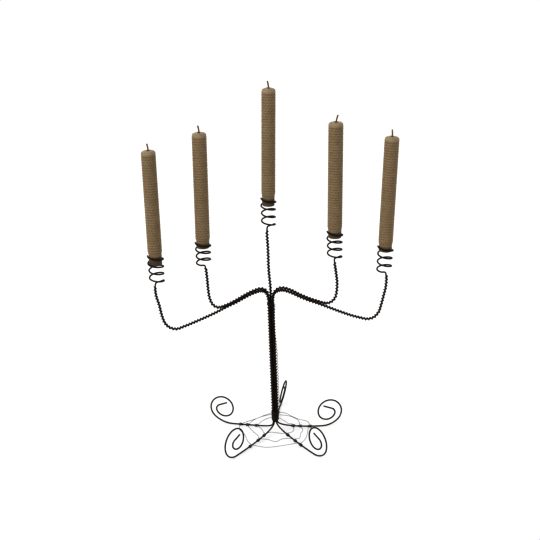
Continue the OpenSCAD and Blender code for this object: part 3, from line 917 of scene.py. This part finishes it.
def wax():
    """Brown beeswax: pale with bloom on the ridges, darker in the cells with painted shade, darkened by
    painted shade where the coil holds it, and pale on the rim with a painted highlight.
    """
    def colour(tree):
        relief, foot, rim = (add(tree, "Attribute", attribute_name=key).outputs["Fac"] for key in MARKS)
        ridge = ramp(tree, noise(tree, 90), [(0.3, (0.25, 0.187, 0.11)), (0.7, (0.3, 0.236, 0.15))])
        # Painted shade: the cells' deeper brown stands for the shade in their hollows, while the ridges'
        # paler brown is bloom
        cell = ramp(tree, noise(tree, 130), [(0.3, (0.14, 0.097, 0.05)), (0.7, (0.195, 0.142, 0.082))])
        rolled = mix(tree, relief, ridge, cell)
        cloudy = mix(tree, spread(tree, noise(tree, 900, 2), -0.3, 0.4), rolled, (0.26, 0.203, 0.13))
        # Painted shade: the darker brown on the foot stands for the shade that the coil casts on it
        coil_shaded = mix(tree, spread(tree, foot, 0.0, 0.85), cloudy, (0.08, 0.055, 0.032))
        # Painted highlight: the paler brown on the top rim stands for the light falling on the candle's top
        return mix(tree, spread(tree, rim, 0.0, 0.75), coil_shaded, (0.34, 0.285, 0.205))

    return finish("wax", colour, (400, 0.42, 0.66), (1500, 4, 0.06 * MM))


def wick_cotton():
    """Waxed cotton, tan with darker fibres."""
    def colour(tree):
        return ramp(tree, noise(tree, 1800, 4), [(0.3, (0.12, 0.08, 0.036)), (0.7, (0.22, 0.155, 0.08))])

    return finish("wick", colour, (900, 0.7, 0.9), (4000, 4, 0.08 * MM))


FINISHES = {
    "dark_wire": dark_wire(),
    "dark_winding": dark_winding(),
    "silver_wire": silver_wire(),
    "wax": wax(),
    "wick": wick_cotton(),
}


# ---- The stage ----

def add_camera():
    """The camera at the reference view."""
    data = bpy.data.cameras.new("camera")
    data.sensor_width = 36
    data.lens = CAMERA_LENS
    data.clip_end = 60
    camera = bpy.data.objects.new("camera", data)
    turn = Matrix.Rotation(math.radians(-CAMERA_PAN), 4, "Z")
    tip = Matrix.Rotation(math.radians(90 - CAMERA_PITCH), 4, "X")
    roll = Matrix.Rotation(math.radians(CAMERA_ROLL), 4, "Z")
    camera.matrix_world = Matrix.Translation(CAMERA_AT) @ turn @ tip @ roll
    bpy.context.scene.collection.objects.link(camera)
    bpy.context.scene.camera = camera


def add_floor():
    """A plain pale floor, lit softly from below like a light table, so that shadows stay faint."""
    mesh = bpy.data.meshes.new("floor")
    corners = [(-1, -1), (1, -1), (1, 1), (-1, 1)]
    mesh.from_pydata([(x * FLOOR_HALF, y * FLOOR_HALF, FLOOR_Z) for x, y in corners], [], [(0, 1, 2, 3)])
    made = bpy.data.materials.new("floor")
    made.use_nodes = True
    shader = made.node_tree.nodes["Principled BSDF"]
    shader.inputs["Base Color"].default_value = (FLOOR_GREY, FLOOR_GREY, FLOOR_GREY, 1)
    shader.inputs["Roughness"].default_value = 0.9
    shader.inputs["Specular IOR Level"].default_value = 0.0
    shader.inputs["Emission Color"].default_value = (1, 1, 1, 1)
    shader.inputs["Emission Strength"].default_value = FLOOR_GLOW
    mesh.materials.append(made)
    floor = bpy.data.objects.new("floor", mesh)
    bpy.context.scene.collection.objects.link(floor)


def add_sun(name, heading, height, strength, softness):
    """Daylight from a heading and a height in degrees, from a patch of sky as wide as its softness."""
    data = bpy.data.lights.new(name, "SUN")
    data.energy = strength
    data.angle = math.radians(softness)
    lamp = bpy.data.objects.new(name, data)
    towards = math.cos(math.radians(height)) * level(heading) + math.sin(math.radians(height)) * UP
    lamp.rotation_euler = Vector(towards).to_track_quat("Z", "Y").to_euler()
    bpy.context.scene.collection.objects.link(lamp)


def add_world(strength):
    """Even white light from all round."""
    world = bpy.data.worlds.new("world")
    world.use_nodes = True
    background = world.node_tree.nodes["Background"]
    background.inputs["Color"].default_value = (1, 1, 1, 1)
    background.inputs["Strength"].default_value = strength
    bpy.context.scene.world = world


add_camera()
add_floor()
add_world(WORLD_STRENGTH)
add_sun("key", heading=210, height=40, strength=1.78, softness=25)

# A gamma below 1 keeps wires that are narrower than a pixel dark against the bright floor
bpy.context.scene.view_settings.view_transform = "Standard"
bpy.context.scene.view_settings.gamma = VIEW_GAMMA

# The accurate prefilter takes the turns of the windings for noise and smooths them away
bpy.context.scene.cycles.denoising_prefilter = "FAST"


# ---- The object ----

for w, name in enumerate(WIRES):
    stretches = [part + name for part in ("leg_", "stem_", "arm_", "coil_")]
    piece("wire_" + name, core_wire(w), "dark_wire", "frame", stretches)
    wound = ["stem_winding_" + name, "arm_winding_" + name]
    piece("winding_" + name, winding(w), "dark_winding", "frame", wound)
    wax_part, wax_values = candle(w)
    piece("rolled_candle_" + name, wax_part, "wax", "candle_" + name, ["candle_" + name], wax_values)
    piece("twisted_wick_" + name, wick(w), "wick", "candle_" + name, ["wick_" + name])

piece("lower_collar_winding", collar(*LOWER_COLLAR), "dark_winding", "frame", ["lower_collar"])
piece("upper_collar_winding", collar(*UPPER_COLLAR), "dark_winding", "frame", ["upper_collar"])
piece("silver_curl_wire", silver_curl(), "silver_wire", "frame", ["silver_curl"])
for ring, name in enumerate(WEB_NAMES):
    piece(name + "_wire", web(ring), "silver_wire", "frame", [name])
